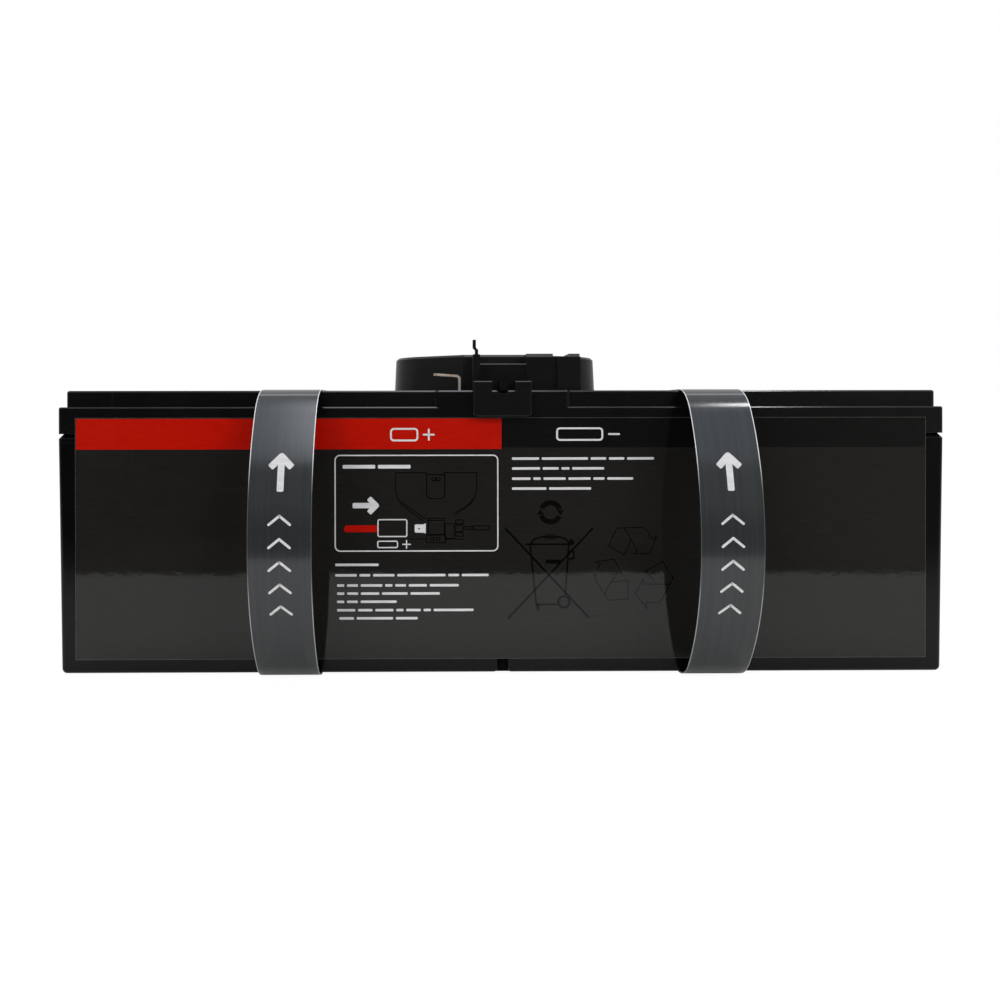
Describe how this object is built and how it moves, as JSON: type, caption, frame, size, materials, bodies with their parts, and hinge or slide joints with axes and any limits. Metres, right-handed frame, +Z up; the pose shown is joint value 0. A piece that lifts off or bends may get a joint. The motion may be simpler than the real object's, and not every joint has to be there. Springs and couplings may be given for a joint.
{
  "type": "ups battery cartridge",
  "caption": "Black battery pack of sealed lead-acid batteries end to end, with a labelled front, pull straps and a connector on top.",
  "frame": {"origin": "centre of the footprint, on the surface the pack stands on", "axes": "+X along the pack to the right of its labelled front, +Y from its front to its back, +Z up"},
  "size_m": [0.3026, 0.0922, 0.1151],
  "materials": {
    "case_plastic": "satin black moulded plastic",
    "valve_rubber": "soft black rubber",
    "positive_lead": "dull brown plate paste on lead",
    "negative_lead": "dull grey lead",
    "glass_mat": "white glass fibre mat",
    "weld_lead": "grey lead weld",
    "seal_resin": "cast black resin",
    "terminal_metal": "tinned brass",
    "link_metal": "bright brass strip",
    "tape": "double sided foam tape",
    "label_film": "glossy dark printed film",
    "connector_plastic": "matte black moulded plastic",
    "strap_film": "grey printed clear film"
  },
  "bodies": {
    "root": {"left_jar": "case_plastic", "left_lid": "case_plastic", "left_vent_cover": "case_plastic", "left_valve_caps": "valve_rubber", "left_positive_plates": "positive_lead", "left_negative_plates": "negative_lead", "left_glass_mats": "glass_mat", "left_cell_links": "weld_lead", "left_terminal_seals": "seal_resin", "right_jar": "case_plastic", "right_lid": "case_plastic", "right_vent_cover": "case_plastic", "right_valve_caps": "valve_rubber", "right_positive_plates": "positive_lead", "right_negative_plates": "negative_lead", "right_glass_mats": "glass_mat", "right_cell_links": "weld_lead", "right_terminal_seals": "seal_resin", "left_positive_terminal": "terminal_metal", "left_negative_terminal": "terminal_metal", "right_positive_terminal": "terminal_metal", "right_negative_terminal": "terminal_metal", "series_link": "link_metal", "joining_tape": "tape", "front_label": "label_film", "connector_cover": "connector_plastic", "connector_block": "connector_plastic", "latch_finger": "connector_plastic", "left_pull_strap": "strap_film", "right_pull_strap": "strap_film"}
  },
  "joints": []
}
